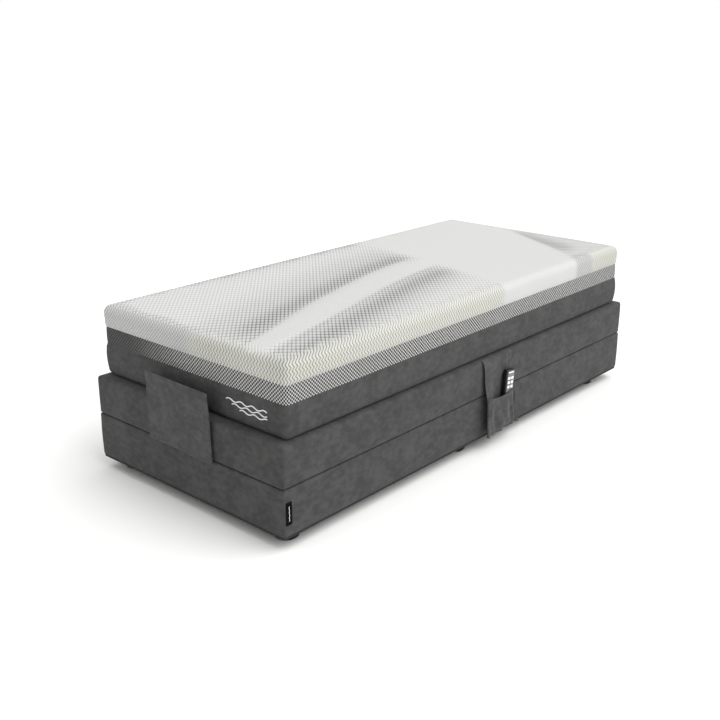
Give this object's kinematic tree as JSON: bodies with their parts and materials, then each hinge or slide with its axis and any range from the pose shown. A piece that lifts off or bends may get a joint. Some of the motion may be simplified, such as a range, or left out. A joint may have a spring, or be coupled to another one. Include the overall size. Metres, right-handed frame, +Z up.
{
  "type": "adjustable bed base",
  "caption": "Single adjustable bed: upholstered box on round feet, folding upholstered sections on motors, mattress, foot flap and side pocket with remote.",
  "frame": {"origin": "centre of the whole part's bounding box, on the floor", "axes": "+Z up, +Y towards the head end, +X towards the side with the remote pocket"},
  "size_m": [0.964, 2.087, 0.605],
  "materials": {
    "upholstery": "dark grey brushed microfibre over board and foam",
    "flap_and_pocket": "dark grey brushed microfibre",
    "mattress": "white knitted cover, grey spacer mesh band, dark grey border",
    "board": "plain fibreboard",
    "frame_steel": "black powder coat",
    "zinc_steel": "zinc plated",
    "feet": "black moulded",
    "motor_plastic": "dark grey moulded",
    "handset": "black moulded with a silver face",
    "buttons": "white silicone keys"
  },
  "bodies": {
    "base": {"foot_foot_end_left": "feet", "foot_middle_left": "feet", "foot_head_end_left": "feet", "foot_foot_end_right": "feet", "foot_middle_right": "feet", "foot_head_end_right": "feet", "side_panel_left": "upholstery", "side_panel_right": "upholstery", "foot_panel": "upholstery", "head_panel": "upholstery", "bottom_board": "board", "side_frame_left": "frame_steel", "side_frame_right": "frame_steel", "back_motor_crossbar": "frame_steel", "leg_motor_crossbar": "frame_steel", "back_hinge_rod": "zinc_steel", "thigh_hinge_rod": "zinc_steel", "seat_platform": "upholstery", "seat_skirt_left": "upholstery", "seat_skirt_right": "upholstery", "control_box": "motor_plastic", "mattress_seat": "mattress", "pocket_back": "flap_and_pocket", "pocket_pouch": "flap_and_pocket"},
    "back": {"back_platform": "upholstery", "back_skirt_left": "upholstery", "back_skirt_right": "upholstery", "back_skirt_end": "upholstery", "back_arm_left": "frame_steel", "back_arm_right": "frame_steel", "back_lever": "frame_steel", "mattress_back": "mattress"},
    "thigh": {"thigh_platform": "upholstery", "thigh_skirt_left": "upholstery", "thigh_skirt_right": "upholstery", "thigh_arm_left": "frame_steel", "thigh_arm_right": "frame_steel", "thigh_lever": "frame_steel", "knee_rod": "zinc_steel", "mattress_thigh": "mattress"},
    "leg": {"leg_platform": "upholstery", "leg_skirt_left": "upholstery", "leg_skirt_right": "upholstery", "leg_skirt_end": "upholstery", "leg_arm_left": "frame_steel", "leg_arm_right": "frame_steel", "mattress_leg": "mattress", "mattress_flap": "flap_and_pocket"},
    "back_motor": {"back_motor_housing": "motor_plastic"},
    "back_rod": {"back_motor_rod": "zinc_steel"},
    "leg_motor": {"leg_motor_housing": "motor_plastic"},
    "leg_rod": {"leg_motor_rod": "zinc_steel"},
    "handset": {"handset_body": "handset"},
    "button_1_left": {"button_1_left": "buttons"},
    "button_1_right": {"button_1_right": "buttons"},
    "button_2_left": {"button_2_left": "buttons"},
    "button_2_right": {"button_2_right": "buttons"},
    "button_3_left": {"button_3_left": "buttons"},
    "button_3_right": {"button_3_right": "buttons"}
  },
  "joints": [
    {"name": "back_lift", "type": "hinge", "parent": "base", "child": "back", "pos_m": [-0.017, 0.2685, 0.327], "axis": [1, 0, 0], "range_deg": [0, 60]},
    {"name": "thigh_lift", "type": "hinge", "parent": "base", "child": "thigh", "pos_m": [-0.017, -0.0115, 0.327], "axis": [-1, 0, 0], "range_deg": [0, 30]},
    {"name": "knee_fold", "type": "hinge", "parent": "thigh", "child": "leg", "pos_m": [-0.017, -0.3715, 0.327], "axis": [1, 0, 0], "range_deg": [0, 40.6]},
    {"name": "back_motor_tilt", "type": "hinge", "parent": "base", "child": "back_motor", "pos_m": [0.073, -0.1115, 0.2], "axis": [1, 0, 0], "range_deg": [0, 9.3]},
    {"name": "back_motor_push", "type": "slide", "parent": "back_motor", "child": "back_rod", "axis": [0, 0.9995, 0.0309], "range_m": [0, 0.097]},
    {"name": "leg_motor_tilt", "type": "hinge", "parent": "base", "child": "leg_motor", "pos_m": [-0.107, 0.3085, 0.21], "axis": [1, 0, 0], "range_deg": [-5.8, 0]},
    {"name": "leg_motor_push", "type": "slide", "parent": "leg_motor", "child": "leg_rod", "axis": [0, -0.997, -0.0775], "range_m": [0, 0.068]},
    {"name": "handset_lift", "type": "slide", "parent": "base", "child": "handset", "axis": [0, 0.1045, 0.9945], "range_m": [0, 0.12]},
    {"name": "button_1_left_press", "type": "slide", "parent": "handset", "child": "button_1_left", "axis": [-1, 0, 0], "range_m": [0, 0.0012], "stiffness_N_per_m": 600, "springref_m": -0.0003},
    {"name": "button_1_right_press", "type": "slide", "parent": "handset", "child": "button_1_right", "axis": [-1, 0, 0], "range_m": [0, 0.0012], "stiffness_N_per_m": 600, "springref_m": -0.0003},
    {"name": "button_2_left_press", "type": "slide", "parent": "handset", "child": "button_2_left", "axis": [-1, 0, 0], "range_m": [0, 0.0012], "stiffness_N_per_m": 600, "springref_m": -0.0003},
    {"name": "button_2_right_press", "type": "slide", "parent": "handset", "child": "button_2_right", "axis": [-1, 0, 0], "range_m": [0, 0.0012], "stiffness_N_per_m": 600, "springref_m": -0.0003},
    {"name": "button_3_left_press", "type": "slide", "parent": "handset", "child": "button_3_left", "axis": [-1, 0, 0], "range_m": [0, 0.0012], "stiffness_N_per_m": 600, "springref_m": -0.0003},
    {"name": "button_3_right_press", "type": "slide", "parent": "handset", "child": "button_3_right", "axis": [-1, 0, 0], "range_m": [0, 0.0012], "stiffness_N_per_m": 600, "springref_m": -0.0003}
  ],
  "couplings": [
    {"joint": "knee_fold", "follows": "thigh_lift", "ratio": 1.35},
    {"joint": "back_motor_tilt", "follows": "back_lift", "ratio": 0.15317},
    {"joint": "back_motor_push", "follows": "back_lift", "m_per_rad": 0.092313},
    {"joint": "leg_motor_tilt", "follows": "thigh_lift", "ratio": -0.18896},
    {"joint": "leg_motor_push", "follows": "thigh_lift", "m_per_rad": 0.12951}
  ]
}
